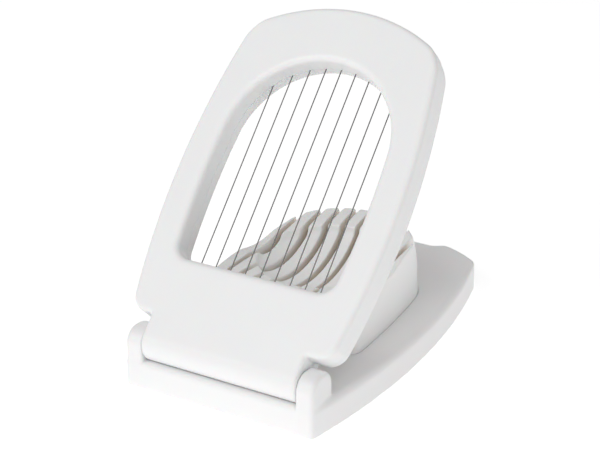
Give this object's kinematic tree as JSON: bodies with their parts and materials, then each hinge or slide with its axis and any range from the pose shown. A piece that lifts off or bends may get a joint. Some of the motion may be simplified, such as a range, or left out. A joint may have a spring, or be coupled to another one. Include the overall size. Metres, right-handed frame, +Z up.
{
  "type": "egg slicer",
  "caption": "Hinged kitchen slicer: a frame strung with parallel cutting wires swings down through the slots of a cradle that holds a boiled egg.",
  "frame": {"origin": "centre of the bounding box on the table plane, with the frame leaning open at 47.1 degrees", "axes": "+X along the hinge, to the right seen from the hinge end; +Y from the hinge end to the finger recess; +Z up"},
  "size_m": [0.0814, 0.13, 0.1065],
  "materials": {
    "white_plastic": "satin moulded, near white",
    "wire_steel": "bright drawn stainless wire",
    "ferrule_steel": "crimped steel"
  },
  "bodies": {
    "base": {"base_body": "white_plastic", "egg_cradle": "white_plastic"},
    "frame": {"lid_frame": "white_plastic", "wire_ring": "white_plastic", "wire_1": "wire_steel", "wire_2": "wire_steel", "wire_3": "wire_steel", "wire_4": "wire_steel", "wire_5": "wire_steel", "wire_6": "wire_steel", "wire_7": "wire_steel", "wire_8": "wire_steel", "wire_9": "wire_steel", "near_ferrules": "ferrule_steel", "far_ferrules": "ferrule_steel"}
  },
  "joints": [
    {"name": "frame_hinge", "type": "hinge", "parent": "base", "child": "frame", "pos_m": [0, -0.05861, 0.0149], "axis": [1, 0, 0], "range_deg": [-47.1, 112.9]}
  ]
}
